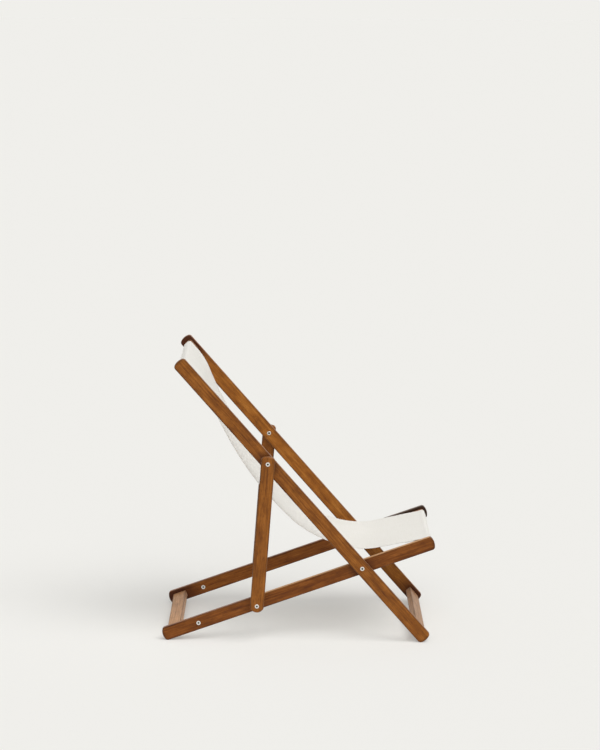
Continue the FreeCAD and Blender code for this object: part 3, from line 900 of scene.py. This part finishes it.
last_caps = [index[:, -1, :4], index[:, -1, [3, 4, 5, 0]]]
stitching = surface("sling_stitching", spindles, [tube, *first_caps, *last_caps])

# Spun polyester: a dull thread with a fuzz of paler fibres, in marks about 0.8 mm long
thread, tree, shader = new_material("polyester_thread")
place = add(tree, "ShaderNodeTexCoord", {}).outputs["Object"]
fuzz = add(tree, "ShaderNodeTexNoise", {"Vector": place, "Scale": 1000 / 0.8, "Detail": 2.0}).outputs[0]
colour = add(
    tree, "ShaderNodeMix", {0: fuzz, 6: linear("#E6E3DA"), 7: linear("#F4F2EC")}, data_type="RGBA"
).outputs[2]
tree.links.new(colour, shader.inputs["Base Color"])
shader.inputs["Roughness"].default_value = 0.6
stitching.data.materials.append(thread)

# The cloth and its stitches keep their places in the world, and the frame's own sling is hidden
for piece in (sling, stitching):
    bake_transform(piece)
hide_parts("sling")


# Studio: a pale seamless floor, a white sky, and two soft lamps, one high to the right and a fainter one
# on the camera's side. The floor shows part of its colour unshaded, which keeps the shadow pale, and the
# sky shows as the floor's colour, so that the floor has no far edge.
FLOOR_COLOUR = "#F0EFEB"
FLOOR_HALF = 80.0
FLOOR_LEVEL = -0.0002
UNSHADED = 0.34
SKY_STRENGTH = 0.30
SKY_LEAN = (-0.13, 0, 0.10)


def seen_directly(tree):
    """1 for rays from the camera, also by way of metal or glass, and 0 for light that falls on things."""
    path = add(tree, "ShaderNodeLightPath", {})
    seen = path.outputs["Is Camera Ray"]
    for kind in ("Is Glossy Ray", "Is Transmission Ray"):
        seen = add(
            tree, "ShaderNodeMath", {0: seen, 1: path.outputs[kind]}, operation="MAXIMUM"
        ).outputs[0]
    return seen


floor_points = np.array([(-1, -1), (1, -1), (1, 1), (-1, 1)]) * FLOOR_HALF
floor_points = np.concatenate([floor_points, np.full((4, 1), FLOOR_LEVEL)], 1)
floor = surface("floor", floor_points, [np.array([[0, 1, 2, 3]])])

# Matt painted floor: one even tone with no shine
matt, tree, shader = new_material("matt_studio_floor")
shader.inputs["Base Color"].default_value = linear(FLOOR_COLOUR)
shader.inputs["Roughness"].default_value = 1.0
shader.inputs["Specular IOR Level"].default_value = 0.0
unshaded = add(
    tree, "ShaderNodeMath", {0: seen_directly(tree), 1: UNSHADED}, operation="MULTIPLY"
).outputs[0]
glow = add(tree, "ShaderNodeEmission", {"Color": linear(FLOOR_COLOUR), "Strength": 1.0}).outputs[0]
both = add(tree, "ShaderNodeMixShader", {0: unshaded, 1: shader.outputs[0], 2: glow}).outputs[0]
tree.links.new(both, tree.nodes["Material Output"].inputs["Surface"])
floor.data.materials.append(matt)

world = bpy.data.worlds.new("studio")
bpy.context.scene.world = world
world.use_nodes = True
tree = world.node_tree
tree.nodes.clear()
way = add(tree, "ShaderNodeTexCoord", {}).outputs["Generated"]
# A little brighter overhead and to the left
lean = add(tree, "ShaderNodeVectorMath", {0: way, 1: SKY_LEAN}, operation="DOT_PRODUCT").outputs[1]
strength = add(tree, "ShaderNodeMath", {0: lean, 1: SKY_STRENGTH}, operation="ADD").outputs[0]
sky = add(tree, "ShaderNodeBackground", {"Color": (1, 1, 1, 1), "Strength": strength}).outputs[0]
backdrop = add(
    tree, "ShaderNodeBackground", {"Color": linear(FLOOR_COLOUR), "Strength": 1.0}
).outputs[0]
both = add(tree, "ShaderNodeMixShader", {0: seen_directly(tree), 1: sky, 2: backdrop}).outputs[0]
add(tree, "ShaderNodeOutputWorld", {"Surface": both})

# Each lamp's share of the light on the floor, and its bearing from +X, its height and its width in
# degrees
for name, share, *angles in (
    ("high_lamp", 0.47, 318, 58, 42),
    ("front_lamp", 0.16, 270, 40, 40),
):
    bearing, height, width = (math.radians(angle) for angle in angles)
    lamp = bpy.data.lights.new(name, "SUN")
    rise = math.sin(height)
    reach = math.cos(height)
    lamp.energy = share * math.pi / rise
    lamp.angle = width
    lamp_object = bpy.data.objects.new(name, lamp)
    towards = Vector((reach * math.cos(bearing), reach * math.sin(bearing), rise))
    lamp_object.rotation_euler = towards.to_track_quat("Z", "Y").to_euler()
    bpy.context.scene.collection.objects.link(lamp_object)


# Camera: square to the chair's right side and a little above it, far away behind a long lens. Its place,
# its turn and its lens were fitted to the edges of the rails and to the bolts.
CAMERA_PLACE = (-0.0409, -8.3921, 2.2321)
PITCH_DOWN = math.radians(9.39)
YAW_RIGHT = math.radians(0.267)
ROLL_LEFT = math.radians(0.237)
SENSOR = 36.0
FOCAL_PIXELS = 2550
FRAME_PIXELS = 750
view = bpy.data.cameras.new("camera")
view.sensor_width = SENSOR
view.lens = SENSOR * FOCAL_PIXELS / FRAME_PIXELS
view.clip_end = 500
camera = bpy.data.objects.new("camera", view)
camera.location = CAMERA_PLACE
camera.rotation_mode = "XYZ"
camera.rotation_euler = (math.pi / 2 - PITCH_DOWN, -ROLL_LEFT, -YAW_RIGHT)
bpy.context.scene.collection.objects.link(camera)
bpy.context.scene.camera = camera
bpy.context.scene.view_settings.view_transform = "Standard"
